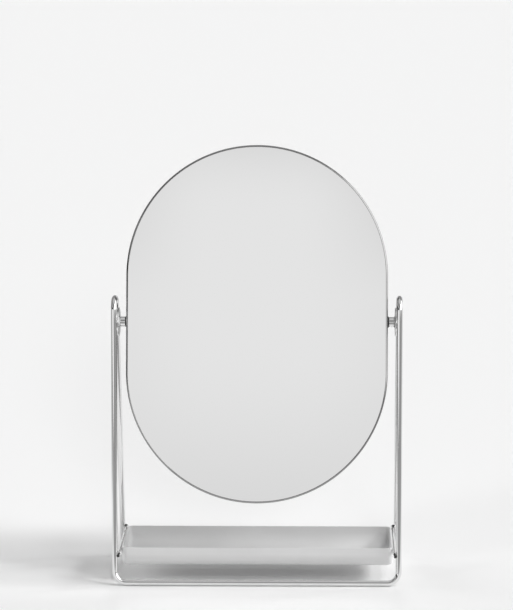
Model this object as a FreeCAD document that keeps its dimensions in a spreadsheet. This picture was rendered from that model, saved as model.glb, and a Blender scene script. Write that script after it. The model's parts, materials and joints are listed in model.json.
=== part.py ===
import FreeCAD, Part
import math
import os
import re

import Sketcher
from FreeCAD import Placement, Rotation, Vector

# Table mirror on a wire stand, in millimetres.
#
# Frame: +Z up, the mirror faces -Y, +X to the right of someone looking at it.
# The origin is on the table, in the middle between the four legs.
#
# The stand is one outline of round wire: a base wire in front and one behind, and on each
# side a wire that rises from both, leans inwards and closes in a narrow loop above the pivot.
# Two thinner rails join the legs of each side and carry a shallow tray. A disc inside each
# loop holds the pivot screw, on which the framed mirror tilts between friction washers.

# ---------------------------------------------------------------------------------------------
# Driving sizes
# ---------------------------------------------------------------------------------------------

SIZES = [
    # stand
    ("stand_width", 196.0, "between the centre lines of the two side wires"),
    ("stand_height", 198.0, "floor to the top of the side loops"),
    ("base_depth", 66.0, "between the centre lines of the front and rear base wires"),
    ("wire_dia", 4.0, "stand wire"),
    ("corner_bend", 8.0, "centre-line radius where a base wire turns up into a leg"),
    ("loop_bend", 7.6, "centre-line radius of the loop over the pivot"),
    ("weld_sink", 0.2, "depth that one wire sinks into its neighbour at a resistance weld"),
    # rails and tray
    ("rail_dia", 2.5, "side rail wire"),
    ("rail_height", 22.8, "floor to the rail's centre line"),
    ("rail_overrun", 1.5, "rail past the centre line of each leg"),
    ("rim_above_rail", 2.2, "tray rim above the rail's centre line"),
    ("tray_depth", 52.0, "outside, front to back"),
    ("tray_height", 15.0, "outside"),
    ("tray_wall", 1.0, "tray sheet"),
    ("tray_bend", 8.5, "outside radius where the long walls turn into the floor"),
    ("tray_end_bend", 2.6, "outside radius round the two end walls"),
    ("tray_lip", 0.35, "rounding of the rim's edges"),
    # pivots
    ("pivot_below_top", 18.5, "pivot axis below the top of the side loops"),
    ("disc_dia", 20.0, "disc that bridges the two legs of a side"),
    ("disc_thick", 1.2, "disc sheet"),
    ("screw_dia", 4.0, "pivot screw's shank"),
    ("screw_reach", 5.0, "screw past the inside of the rim"),
    ("head_dia", 8.0, "pivot screw's head"),
    ("head_height", 2.1, "pivot screw's head"),
    ("head_round", 0.8, "rounding of the head's edge"),
    ("socket_width", 2.5, "across the flats of the hexagon socket"),
    ("socket_deep", 1.2, "hexagon socket"),
    ("run_gap", 0.05, "radial clearance of the turning screw in the disc"),
    ("fit_gap", 0.1, "radial clearance of the screw in the pieces that turn with it"),
    ("washer_thick", 0.5, "friction washers on both faces of the disc"),
    ("washer_dia", 8.0, "friction washers"),
    ("barrel_dia", 7.0, "spacer barrel between mirror and washer"),
    ("barrel_length", 3.9, "spacer barrel; sets how far the mirror stands in from the discs"),
    ("barrel_round", 0.5, "rounding of the barrel's ends"),
    ("gasket_thick", 0.6, "gasket between barrel and rim"),
    ("gasket_dia", 7.8, "gasket between barrel and rim"),
    # mirror
    ("mirror_height", 246.4, "outside the rim"),
    ("mirror_depth", 12.0, "rim, front to back"),
    ("pivot_above_centre", 1.5, "pivot axis above the middle of the mirror"),
    ("rest_tilt", 13.0, "degrees that the mirror leans back as it stands"),
    ("rim_wall", 1.0, "rim sheet"),
    ("rim_lip", 1.7, "rim's width seen from the front"),
    ("rim_lip_thick", 0.8, "folded lips that hold glass and back panel"),
    ("rim_edge_round", 0.5, "rounding of the rim's outer edges"),
    ("glass_thick", 2.0, "mirror glass"),
    ("pad_thick", 1.0, "cushion sheet behind the glass"),
    ("panel_thick", 1.0, "back panel"),
    ("pack_gap", 0.15, "sideways play of the sheets inside the rim"),
    ("block_length", 6.0, "threaded block, inwards from the rim"),
    ("block_width", 6.2, "threaded block, front to back"),
    ("block_height", 16.0, "threaded block, up and down"),
    ("block_gap", 0.3, "clearance round a block in the sheets inside the rim"),
]

doc = FreeCAD.newDocument("TableMirror")
sheet = doc.addObject("Spreadsheet::Sheet", "Sizes")
for row, (alias, value, meaning) in enumerate(SIZES, start=1):
    sheet.set(f"A{row}", alias)
    sheet.set(f"B{row}", str(value))
    sheet.set(f"C{row}", meaning)
    sheet.setAlias(f"B{row}", alias)
doc.recompute()

ALIASES = {alias for alias, _, _ in SIZES}
WORD = re.compile(r"[a-z_]+")
SIDES = {"left": -1, "right": 1}

nodes = {}


def bound(formula):
    """The formula with each alias written as a cell of the sheet."""
    return WORD.sub(lambda hit: f"Sizes.{hit[0]}" if hit[0] in ALIASES else hit[0], formula)


def number(formula):
    """The value of a formula in the sizes, for shapes that are made with Part's functions."""
    total = doc.addObject("App::FeaturePython", "Probe")
    total.addProperty("App::PropertyFloat", "Value")
    total.setExpression("Value", bound(formula))
    total.recompute()
    value = total.Value
    doc.removeObject(total.Name)
    return value


def bind(obj, **formulas):
    """Tie properties to the sheet; x, y and z stand for the placement's base."""
    for prop, formula in formulas.items():
        path = f"Placement.Base.{prop}" if prop in "xyz" else prop
        obj.setExpression(path, bound(formula))
    return obj


def node(name, obj):
    """Keep an object as the sub-part called name."""
    obj.Label = name
    nodes[name] = obj
    return obj


def mirror_node(name, obj):
    """Keep a sub-part that tilts, leaned back about the pivot axis."""
    axis = Vector(0, 0, number(PIVOT_HEIGHT))
    obj.Placement = Placement(Vector(0, 0, 0), Rotation(Vector(1, 0, 0), -number("rest_tilt")), axis)
    return node(name, obj)


# Places that several pieces share, as formulas in the sizes.
PIVOT_HEIGHT = "(stand_height - pivot_below_top)"
LEG_INSIDE = "(stand_width / 2 - wire_dia / 2)"
DISC_OUTSIDE = f"({LEG_INSIDE} + weld_sink)"
DISC_INSIDE = f"({DISC_OUTSIDE} - disc_thick)"
BARREL_END = f"({DISC_INSIDE} - washer_thick)"
BARREL_START = f"({BARREL_END} - barrel_length)"
MIRROR_HALF = f"({BARREL_START} - gasket_thick)"
MIRROR_STRAIGHT = f"(mirror_height - 2 * {MIRROR_HALF})"
HEAD_SEAT = f"({DISC_OUTSIDE} + washer_thick)"
RIM_INSIDE = f"({MIRROR_HALF} - rim_wall)"
SCREW_TIP = f"({RIM_INSIDE} - screw_reach)"
RAIL_CENTRE = f"({LEG_INSIDE} + weld_sink - rail_dia / 2)"
TRAY_WIDTH = f"(2 * ({RAIL_CENTRE} - rail_dia / 2 + weld_sink))"
TRAY_FLOOR = "(rail_height + rim_above_rail - tray_height)"
GLASS_FRONT = "(rim_lip_thick - mirror_depth / 2)"
PAD_FRONT = f"({GLASS_FRONT} + glass_thick)"
CORE_FRONT = f"({PAD_FRONT} + pad_thick)"
PANEL_FRONT = "(mirror_depth / 2 - rim_lip_thick - panel_thick)"
SHEET_HALF = f"({RIM_INSIDE} - pack_gap)"
BORE = "screw_dia + 2 * fit_gap"


# ---------------------------------------------------------------------------------------------
# Small builders
# ---------------------------------------------------------------------------------------------

def axial_rod(name, side, dia, start, end):
    """Cylinder on the pivot axis, from start to end, counted outwards from the middle."""
    rod = doc.addObject("Part::Cylinder", name)
    rod.Placement.Rotation = Rotation(Vector(0, 1, 0), 90 * side)
    bind(rod, Radius=f"({dia}) / 2", Height=f"{end} - {start}", x=f"{side} * {start}", z=PIVOT_HEIGHT)
    return rod


def cut(name, base, *tools):
    """Base with the tools taken away, one after the other."""
    for index, tool in enumerate(tools):
        result = doc.addObject("Part::Cut", f"{name}_cut{index}")
        result.Base = base
        result.Tool = tool
        base = result
    return base


def axial_ring(name, side, dia, bore, start, end):
    """Ring on the pivot axis."""
    rod = axial_rod(f"{name}_rod", side, dia, start, end)
    hole = axial_rod(f"{name}_hole", side, bore, start, end)
    return cut(name, rod, hole)


def rounded(name, base, radius, wanted):
    """Base with the wanted edges rounded."""
    doc.recompute()
    edges = [(i, radius, radius) for i, edge in enumerate(base.Shape.Edges, start=1) if wanted(edge)]
    fillet = doc.addObject("Part::Fillet", f"{name}_fillet")
    fillet.Base = base
    fillet.Edges = edges
    return fillet


def pill(name, half_width, front, thick):
    """Upright plate with half-round ends: straight sides as long as the mirror's own."""
    sketch = doc.addObject("Sketcher::SketchObject", f"{name}_outline")
    sketch.Placement.Rotation = Rotation(Vector(1, 0, 0), 90)
    bind(sketch, y=front, z=f"{PIVOT_HEIGHT} - pivot_above_centre")
    radius = number(half_width)
    rise = number(f"{MIRROR_STRAIGHT} / 2")
    up = Vector(0, 0, 1)
    quarter = math.pi / 2
    top = Part.ArcOfCircle(Part.Circle(Vector(0, rise, 0), up, radius), 0, 2 * quarter)
    bottom = Part.ArcOfCircle(Part.Circle(Vector(0, -rise, 0), up, radius), 2 * quarter, 4 * quarter)
    left = Part.LineSegment(Vector(-radius, rise, 0), Vector(-radius, -rise, 0))
    right = Part.LineSegment(Vector(radius, -rise, 0), Vector(radius, rise, 0))
    sketch.addGeometry([top, left, bottom, right])
    for first, second in ((0, 1), (1, 2), (2, 3), (3, 0)):
        sketch.addConstraint(Sketcher.Constraint("Tangent", first, 2, second, 1))
    sketch.addConstraint(Sketcher.Constraint("PointOnObject", 0, 3, -2))
    sketch.addConstraint(Sketcher.Constraint("Symmetric", 0, 3, 2, 3, -1, 1))
    radius_at = sketch.addConstraint(Sketcher.Constraint("Radius", 0, radius))
    rise_at = sketch.addConstraint(Sketcher.Constraint("DistanceY", 2, 3, 0, 3, 2 * rise))
    sketch.setExpression(f"Constraints[{radius_at}]", bound(half_width))
    sketch.setExpression(f"Constraints[{rise_at}]", bound(MIRROR_STRAIGHT))
    plate = doc.addObject("Part::Extrusion", name)
    plate.Base = sketch
    plate.DirMode = "Custom"
    plate.Dir = Vector(0, 1, 0)
    plate.Solid = True
    return bind(plate, LengthFwd=thick)


# ---------------------------------------------------------------------------------------------
# Stand: base wires and side wires
# ---------------------------------------------------------------------------------------------

def base_wire(name, facing):
    """Straight wire on the table; facing is -1 in front and 1 behind."""
    wire = doc.addObject("Part::Cylinder", name)
    wire.Placement.Rotation = Rotation(Vector(0, 1, 0), 90)
    bind(wire, Radius="wire_dia / 2", Height="stand_width - 2 * corner_bend",
         x="corner_bend - stand_width / 2", y=f"{facing} * base_depth / 2", z="wire_dia / 2")
    return node(name, wire)


def leg_lean():
    """Angle between a leg and the vertical, and the leg's length up to the loop."""
    half_depth = number("base_depth / 2")
    rise = number("stand_height - wire_dia - loop_bend")
    loop = number("loop_bend")
    reach = math.hypot(half_depth, rise)
    return math.atan2(half_depth, rise) - math.asin(loop / reach), math.sqrt(reach ** 2 - loop ** 2)


def side_path(side):
    """Centre line of a side wire: front corner, leaning leg, loop, rear leg, rear corner."""
    radius = number("wire_dia / 2")
    half_width = number("stand_width / 2")
    half_depth = number("base_depth / 2")
    corner = number("corner_bend")
    lean, leg = leg_lean()
    outer = Vector(side * half_width, 0, 0)
    inner = Vector(side * (half_width - corner), 0, 0)

    def ends(facing):
        """The base end, both ends of the corner with its middle, and the leg's top."""
        rise = Vector(0, -facing * math.sin(lean), math.cos(lean))
        foot = Vector(0, facing * half_depth, radius)
        centre = inner + foot + rise * corner
        middle = centre + (Vector(side, 0, 0) - rise) * (corner / math.sqrt(2))
        return inner + foot, middle, outer + foot + rise * corner, outer + foot + rise * leg

    start, front_mid, front_low, front_top = ends(-1)
    finish, rear_mid, rear_low, rear_top = ends(1)
    crown = outer + Vector(0, 0, number("stand_height - wire_dia / 2"))
    return Part.Wire([
        Part.Arc(start, front_mid, front_low).toShape(),
        Part.LineSegment(front_low, front_top).toShape(),
        Part.Arc(front_top, crown, rear_top).toShape(),
        Part.LineSegment(rear_top, rear_low).toShape(),
        Part.Arc(rear_low, rear_mid, finish).toShape(),
    ])


def side_wire(name, side):
    """Round wire swept along the side's centre line."""
    path = side_path(side)
    start = path.Edges[0].valueAt(path.Edges[0].FirstParameter)
    ring = Part.Wire(Part.makeCircle(number("wire_dia / 2"), start, Vector(side, 0, 0)))
    swept = path.makePipeShell([ring], True, True)
    wire = doc.addObject("Part::Feature", name)
    wire.Shape = swept
    return node(name, wire)


# ---------------------------------------------------------------------------------------------
# Tray and its rails
# ---------------------------------------------------------------------------------------------

def tray_pan():
    """Shallow pan: long walls curve under into the floor, ends closed."""
    body = doc.addObject("PartDesign::Body", "tray")
    bind(body, z=TRAY_FLOOR)
    plane = next(item for item in body.Origin.OriginFeatures if item.Role == "XY_Plane")
    sketch = body.newObject("Sketcher::SketchObject", "tray_outline")
    sketch.AttachmentSupport = [(plane, "")]
    sketch.MapMode = "FlatFace"
    half_x = number(TRAY_WIDTH) / 2
    half_y = number("tray_depth / 2")
    corners = [Vector(-half_x, -half_y, 0), Vector(half_x, -half_y, 0),
               Vector(half_x, half_y, 0), Vector(-half_x, half_y, 0)]
    for index in range(4):
        sketch.addGeometry(Part.LineSegment(corners[index], corners[(index + 1) % 4]))
    for index in range(4):
        sketch.addConstraint(Sketcher.Constraint("Coincident", index, 2, (index + 1) % 4, 1))
        direction = "Vertical" if index % 2 else "Horizontal"
        sketch.addConstraint(Sketcher.Constraint(direction, index))
    sketch.addConstraint(Sketcher.Constraint("Symmetric", 0, 1, 1, 2, -1, 1))
    width_at = sketch.addConstraint(Sketcher.Constraint("DistanceX", 0, 1, 0, 2, 2 * half_x))
    depth_at = sketch.addConstraint(Sketcher.Constraint("DistanceY", 1, 1, 1, 2, 2 * half_y))
    sketch.setExpression(f"Constraints[{width_at}]", bound(TRAY_WIDTH))
    sketch.setExpression(f"Constraints[{depth_at}]", bound("tray_depth"))
    pad = body.newObject("PartDesign::Pad", "tray_block")
    pad.Profile = sketch
    bind(pad, Length="tray_height")
    doc.recompute()

    def picked(feature, kind, wanted):
        """Names of the feature's edges or faces that are wanted."""
        shapes = getattr(feature.Shape, f"{kind}s")
        return [f"{kind}{i}" for i, shape in enumerate(shapes, start=1) if wanted(shape)]

    def long_bottom(edge):
        box = edge.BoundBox
        return box.ZMax < 0.01 and box.XLength > half_x

    def end_loop(edge):
        box = edge.BoundBox
        return box.XLength < 0.01 and abs(abs(box.XMax) - half_x) < 0.01 and box.ZMin < top - 0.01

    top = number("tray_height")
    bends = body.newObject("PartDesign::Fillet", "tray_bends")
    bends.Base = (pad, picked(pad, "Edge", long_bottom))
    bind(bends, Radius="tray_bend")
    doc.recompute()
    ends = body.newObject("PartDesign::Fillet", "tray_ends")
    ends.Base = (bends, picked(bends, "Edge", end_loop))
    bind(ends, Radius="tray_end_bend")
    doc.recompute()
    shell = body.newObject("PartDesign::Thickness", "tray_shell")
    shell.Base = (ends, picked(ends, "Face", lambda face: face.BoundBox.ZMin > top - 0.01))
    shell.Reversed = True
    bind(shell, Value="tray_wall")
    doc.recompute()
    lip = body.newObject("PartDesign::Fillet", "tray_rim")
    lip.Base = (shell, picked(shell, "Edge", lambda edge: edge.BoundBox.ZMin > top - 0.01))
    bind(lip, Radius="tray_lip")
    body.Tip = lip
    doc.recompute()
    return node("tray", body)


def tray_rail(name, side, wire, pan):
    """Thin rod across both legs of a side, sunk a little into the legs and the tray."""
    leg_y = number("base_depth / 2") - number("rail_height - wire_dia / 2") * math.tan(leg_lean()[0])
    rod = doc.addObject("Part::Cylinder", f"{name}_rod")
    rod.Placement.Rotation = Rotation(Vector(1, 0, 0), -90)
    bind(rod, Radius="rail_dia / 2", Height=f"2 * ({leg_y} + rail_overrun)",
         x=f"{side} * {RAIL_CENTRE}", y=f"-({leg_y} + rail_overrun)", z="rail_height")
    return node(name, cut(name, rod, wire, pan))


# ---------------------------------------------------------------------------------------------
# Pivots
# ---------------------------------------------------------------------------------------------

def pivot_disc(name, side, wire):
    """Disc welded to the inner side of both legs, with the bore that the screw turns in."""
    ring = axial_ring(name, side, "disc_dia", "screw_dia + 2 * run_gap", DISC_INSIDE, DISC_OUTSIDE)
    return node(name, cut(f"{name}_seat", ring, wire))


def spacer_barrel(name, side):
    """Barrel between gasket and friction washer."""
    ring = axial_ring(name, side, "barrel_dia", BORE, BARREL_START, BARREL_END)
    outer = number("barrel_dia / 2")
    barrel = rounded(name, ring, number("barrel_round"),
                     lambda edge: abs(edge.BoundBox.YMax - outer) < 0.01 and edge.BoundBox.XLength < 0.01)
    return mirror_node(name, barrel)


def pivot_screw(name, side):
    """Round-headed screw with a hexagon socket, from outside the disc into the block."""
    shank = axial_rod(f"{name}_shank", side, "screw_dia", SCREW_TIP, HEAD_SEAT)
    head = axial_rod(f"{name}_head", side, "head_dia", HEAD_SEAT, f"({HEAD_SEAT} + head_height)")
    face_x = side * number(f"{HEAD_SEAT} + head_height")
    head = rounded(f"{name}_head", head, number("head_round"),
                   lambda edge: edge.BoundBox.XLength < 0.01 and abs(edge.BoundBox.XMax - face_x) < 0.01)
    joined = doc.addObject("Part::Fuse", f"{name}_joined")
    joined.Base = head
    joined.Tool = shank
    socket = doc.addObject("Part::Prism", f"{name}_socket")
    socket.Polygon = 6
    socket.Placement.Rotation = Rotation(Vector(0, 1, 0), 90 * side)
    bind(socket, Circumradius="socket_width / sqrt(3)", Height="2 * socket_deep",
         x=f"{side} * ({HEAD_SEAT} + head_height - socket_deep)", z=PIVOT_HEIGHT)
    return mirror_node(name, cut(name, joined, socket))


def pivot_block(name, side):
    """Threaded block on the inside of the rim."""
    box = doc.addObject("Part::Box", f"{name}_bar")
    start = f"({RIM_INSIDE} - block_length)" if side > 0 else f"(-{RIM_INSIDE})"
    bind(box, Length="block_length", Width="block_width", Height="block_height", x=start,
         y="-block_width / 2", z=f"{PIVOT_HEIGHT} - block_height / 2")
    hole = axial_rod(f"{name}_thread", side, BORE,
                     f"({RIM_INSIDE} - block_length - fit_gap)", f"({RIM_INSIDE} + fit_gap)")
    return mirror_node(name, cut(name, box, hole))


# ---------------------------------------------------------------------------------------------
# Mirror
# ---------------------------------------------------------------------------------------------

def mirror_rim():
    """Band of folded sheet with a lip in front and one behind, bored for both screws."""
    outer = pill("rim_band", MIRROR_HALF, "-mirror_depth / 2", "mirror_depth")
    band = rounded("rim_band", outer, number("rim_edge_round"), lambda edge: edge.BoundBox.YLength < 0.01)
    inside = pill("rim_inside", RIM_INSIDE, "rim_lip_thick - mirror_depth / 2", "mirror_depth - 2 * rim_lip_thick")
    opening = pill("rim_opening", f"{MIRROR_HALF} - rim_lip", "-mirror_depth", "2 * mirror_depth")
    bores = [axial_rod(f"rim_bore_{word}", side, BORE, f"({RIM_INSIDE} - rim_wall)",
                       f"({MIRROR_HALF} + rim_wall)") for word, side in SIDES.items()]
    return mirror_node("mirror_rim", cut("mirror_rim", band, inside, opening, *bores))


def notched_sheet(name, front, thick):
    """Sheet inside the rim, notched right through round both threaded blocks."""
    plate = pill(f"{name}_plate", SHEET_HALF, front, thick)
    notches = []
    for word, side in SIDES.items():
        notch = doc.addObject("Part::Box", f"{name}_notch_{word}")
        start = f"({RIM_INSIDE} - block_length - block_gap)" if side > 0 else f"(-{RIM_INSIDE} - block_gap)"
        bind(notch, Length="block_length + 2 * block_gap", Width="mirror_depth",
             Height="block_height + 2 * block_gap", x=start, y="-mirror_depth / 2",
             z=f"{PIVOT_HEIGHT} - block_height / 2 - block_gap")
        notches.append(notch)
    return mirror_node(name, cut(name, plate, *notches))


# ---------------------------------------------------------------------------------------------
# The whole object
# ---------------------------------------------------------------------------------------------

base_wire("front_base_wire", -1)
base_wire("rear_base_wire", 1)
tray = tray_pan()
for word, side in SIDES.items():
    wire = side_wire(f"{word}_side_wire", side)
    tray_rail(f"{word}_tray_rail", side, wire, tray)
    pivot_disc(f"{word}_pivot_disc", side, wire)
    for piece, dia, start, end in (
        ("gasket", "gasket_dia", MIRROR_HALF, BARREL_START),
        ("inner_washer", "washer_dia", BARREL_END, DISC_INSIDE),
        ("outer_washer", "washer_dia", DISC_OUTSIDE, HEAD_SEAT),
    ):
        name = f"{word}_{piece}"
        mirror_node(name, axial_ring(name, side, dia, BORE, start, end))
    spacer_barrel(f"{word}_spacer_barrel", side)
    pivot_screw(f"{word}_pivot_screw", side)
    pivot_block(f"{word}_pivot_block", side)

mirror_rim()
mirror_node("mirror_glass", pill("glass_plate", SHEET_HALF, GLASS_FRONT, "glass_thick"))
notched_sheet("cushion_sheet", PAD_FRONT, "pad_thick")
notched_sheet("core_board", CORE_FRONT, f"{PANEL_FRONT} - {CORE_FRONT}")
mirror_node("back_panel", pill("back_plate", SHEET_HALF, PANEL_FRONT, "panel_thick"))

doc.recompute()

# ---------------------------------------------------------------------------------------------
# Check and export
# ---------------------------------------------------------------------------------------------

failed = [item.Label for item in doc.Objects if {"Invalid", "Error"} & set(item.State)]
for name, item in nodes.items():
    if item.Shape.isNull() or not item.Shape.isValid() or len(item.Shape.Solids) != 1:
        failed.append(name)
if failed:
    raise RuntimeError(f"not sound: {sorted(set(failed))}")

os.makedirs("parts", exist_ok=True)
for name, item in nodes.items():
    item.Shape.exportStep(os.path.join("parts", f"{name}.step"))
    print(f"{name}: {item.Shape.Volume:.1f} mm3")
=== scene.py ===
"""Dress the tilting table mirror: chromed wire stand, painted tray, silvered glass. Metres, +Z up."""

import json
import logging
import math
from dataclasses import dataclass
from enum import Enum
from typing import Optional, Sequence, Union

import bmesh
import bpy
from mathutils import Matrix, Vector


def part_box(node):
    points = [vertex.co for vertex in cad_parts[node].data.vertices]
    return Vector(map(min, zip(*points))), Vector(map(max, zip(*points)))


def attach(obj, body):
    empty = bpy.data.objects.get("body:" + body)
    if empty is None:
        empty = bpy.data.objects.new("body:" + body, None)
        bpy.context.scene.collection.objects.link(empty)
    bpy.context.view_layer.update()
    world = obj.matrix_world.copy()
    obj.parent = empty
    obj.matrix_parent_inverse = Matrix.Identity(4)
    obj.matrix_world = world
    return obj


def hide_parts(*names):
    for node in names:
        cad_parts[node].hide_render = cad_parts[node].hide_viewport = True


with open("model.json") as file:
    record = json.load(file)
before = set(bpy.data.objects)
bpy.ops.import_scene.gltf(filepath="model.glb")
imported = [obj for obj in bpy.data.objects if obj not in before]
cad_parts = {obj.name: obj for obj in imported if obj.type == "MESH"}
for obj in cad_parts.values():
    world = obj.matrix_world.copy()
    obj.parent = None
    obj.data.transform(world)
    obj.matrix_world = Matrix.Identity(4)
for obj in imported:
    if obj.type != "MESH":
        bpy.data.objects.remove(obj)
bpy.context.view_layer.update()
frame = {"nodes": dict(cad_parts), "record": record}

LOG = logging.getLogger("table_mirror")

IN_PLACE = Matrix.Identity(4)
RIGHTWARD = Vector((1.0, 0.0, 0.0))
REARWARD = Vector((0.0, 1.0, 0.0))
UP = Vector((0.0, 0.0, 1.0))

# Sockets of a Mix node set to colours; its other kinds of data share their names.
MIX_FIRST = 6
MIX_SECOND = 7
MIX_RESULT = 2

# Octaves of noise.
DETAIL_LOW = 2.0
DETAIL_MIDDLE = 3.0
DETAIL_HIGH = 4.0

Stops = Sequence[tuple[float, float]]


class Side(Enum):
    """The two mirrored sides of the stand, with the sign of X on each."""

    LEFT = -1
    RIGHT = 1

    @property
    def word(self) -> str:
        """Name of the side as the CAD nodes spell it."""
        return self.name.lower()


class Body(Enum):
    """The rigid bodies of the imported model."""

    STAND = "stand"
    MIRROR = "mirror"


class Slot(Enum):
    """Material slots of the record."""

    STAND = "stand_chrome"
    RIM = "rim_chrome"
    FITTING = "fitting_chrome"
    TRAY = "tray_paint"
    SILVER = "silvered_glass"
    CUSHION = "cushion_foam"
    BOARD = "filler_board"
    PANEL = "panel_paint"
    ZINC = "plain_steel"
    GASKET = "gasket_rubber"
    NYLON = "washer_nylon"
    SCREW = "screw_steel"


# ---------- Node trees ----------

Operand = Union["Wire", float]


@dataclass(frozen=True)
class Wire:
    """A node's output; one that holds a number adds Math nodes when it is used in an expression."""

    tree: "Tree"
    socket: Optional[bpy.types.NodeSocket]

    def pick(self, output: str) -> "Wire":
        """Another output of the same node."""
        return Wire(self.tree, self.socket.node.outputs[output])

    def _math(self, operation: str, first: Operand, second: Operand) -> "Wire":
        """Add one Math node.

        Args:
            operation: Blender's name of the operation.
            first: left operand.
            second: right operand.

        Returns:
            The node's result.
        """
        return self.tree.add("ShaderNodeMath", {"operation": operation}, {0: first, 1: second})

    def __add__(self, other: Operand) -> "Wire":
        """Sum."""
        return self._math("ADD", self, other)

    def __sub__(self, other: Operand) -> "Wire":
        """Difference."""
        return self._math("SUBTRACT", self, other)

    def __rsub__(self, other: Operand) -> "Wire":
        """Difference, with the number on the left."""
        return self._math("SUBTRACT", other, self)

    def __mul__(self, other: Operand) -> "Wire":
        """Product."""
        return self._math("MULTIPLY", self, other)

    __radd__ = __add__
    __rmul__ = __mul__


class Tree:
    """A node tree with one method that adds any node."""

    def __init__(self, tree: bpy.types.NodeTree) -> None:
        """Wrap a tree.

        Args:
            tree: the node tree to fill.
        """
        self.tree = tree

    def add(self, kind: str, settings: Optional[dict[str, object]] = None,
            inputs: Optional[dict[Union[int, str], object]] = None, output: Union[int, str] = 0) -> Wire:
        """Add a node.

        Args:
            kind: the node's type name.
            settings: attributes, set before the sockets; stops are a ramp's positions and grey levels.
            inputs: values or wires, by socket name or number.
            output: which output to hand back.

        Returns:
            The chosen output as a wire.
        """
        node = self.tree.nodes.new(kind)
        for name, value in (settings or {}).items():
            if name == "stops":
                self._set_stops(node.color_ramp.elements, value)
            else:
                setattr(node, name, value)
        for name, value in (inputs or {}).items():
            self.feed(node.inputs[name], value)
        return Wire(self, node.outputs[output]) if len(node.outputs) else Wire(self, None)

    def feed(self, socket: bpy.types.NodeSocket, value: object) -> None:
        """Link a wire to a socket, or set its value.

        Args:
            socket: the input.
            value: a wire or a plain value.
        """
        if isinstance(value, Wire):
            self.tree.links.new(value.socket, socket)
        else:
            socket.default_value = value

    @staticmethod
    def _set_stops(points: bpy.types.ColorRampElements, stops: Stops) -> None:
        """Write a ramp's stops.

        Args:
            points: the ramp's elements, two of them to start with.
            stops: position and grey level of each stop, at least two.
        """
        for index, (place, level) in enumerate(stops):
            point = points[index] if index < 2 else points.new(place)
            point.position = place
            point.color = (level, level, level, 1.0)

    def ramp(self, factor: Wire, stops: Stops) -> Wire:
        """Map a number through a grey ramp."""
        return self.add("ShaderNodeValToRGB", {"stops": stops}, {"Fac": factor}, "Color")

    def between(self, value: Wire, start: float, end: float) -> Wire:
        """Rise smoothly from 0 at one value to 1 at another."""
        return self.add("ShaderNodeMapRange", {"interpolation_type": "SMOOTHSTEP"}, {
            "Value": value, "From Min": start, "From Max": end})

    def mix(self, mask: Wire, first: Sequence[float], second: Sequence[float]) -> Wire:
        """Mix two colours.

        Args:
            mask: 0 for the first, 1 for the second.
            first: linear red, green and blue.
            second: linear red, green and blue.

        Returns:
            A colour.
        """
        colours = {0: mask, MIX_FIRST: (*first, 1.0), MIX_SECOND: (*second, 1.0)}
        return self.add("ShaderNodeMix", {"data_type": "RGBA"}, colours, MIX_RESULT)


class Surface(Tree):
    """The tree of a material, with a Principled shader and the object's own coordinates."""

    def __init__(self, name: str) -> None:
        """Make the material.

        Args:
            name: the material's name.
        """
        self.material = bpy.data.materials.new(name)
        self.material.use_nodes = True
        super().__init__(self.material.node_tree)
        self.shader = self.tree.nodes["Principled BSDF"]
        self.place = self.add("ShaderNodeTexCoord", output="Object")

    def shade(self, **values: object) -> None:
        """Set or link the shader's sockets; an underscore in a keyword stands for a space.

        Args:
            values: a value or wire for each socket.
        """
        for word, value in values.items():
            self.feed(self.shader.inputs[word.replace("_", " ")], value)

    def noise(self, size: float, detail: float = DETAIL_MIDDLE, tall: float = 1.0) -> Wire:
        """Noise over the piece.

        Args:
            size: size of its blotches, in metres.
            detail: octaves.
            tall: how much longer the blotches are along Z.

        Returns:
            The noise, about 0.5 on average.
        """
        scale = (1.0 / size, 1.0 / size, 1.0 / (size * tall))
        mapped = self.add("ShaderNodeMapping", None, {"Vector": self.place, "Scale": scale})
        return self.add("ShaderNodeTexNoise", None, {"Vector": mapped, "Scale": 1.0, "Detail": detail})

    def mix_grey(self, mask: Wire, dark: float, light: float) -> Wire:
        """Grey between two levels.

        Args:
            mask: 0 for dark, 1 for light.
            dark: linear grey level.
            light: linear grey level.

        Returns:
            A colour.
        """
        return self.mix(mask, (dark,) * 3, (light,) * 3)

    def relief(self, height: Wire, depth: float) -> None:
        """Bump the surface.

        Args:
            height: from 0 to 1.
            depth: height of the bumps, in metres.
        """
        bump = self.add("ShaderNodeBump", None, {"Height": height, "Distance": depth, "Strength": 1.0})
        self.shade(Normal=bump)


# ---------- Finishes ----------

@dataclass(frozen=True)
class Chrome:
    """Bright plating with faint handling haze and fine polishing marks."""

    name: str
    grey: float = 0.85
    gloss: float = 0.02
    haze: float = 0.035
    mark: float = 0.0011
    mark_depth: float = 0.0000012
    haze_size: float = 0.018
    haze_band: tuple[float, float] = (0.42, 0.78)
    tint_size: float = 0.006
    tint: tuple[float, float] = (-0.03, 0.02)

    def build(self) -> bpy.types.Material:
        """Make the material.

        Returns:
            The material.
        """
        surface = Surface(self.name)
        clear, hazy = self.haze_band
        stops = ((clear, self.gloss), (hazy, self.gloss + self.haze))
        rough = surface.ramp(surface.noise(self.haze_size), stops)
        dark, light = (self.grey + shift for shift in self.tint)
        colour = surface.mix_grey(surface.noise(self.tint_size), dark, light)
        surface.shade(Base_Color=colour, Metallic=1.0, Roughness=rough)
        surface.relief(surface.noise(self.mark, DETAIL_LOW), self.mark_depth)
        return surface.material


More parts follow.
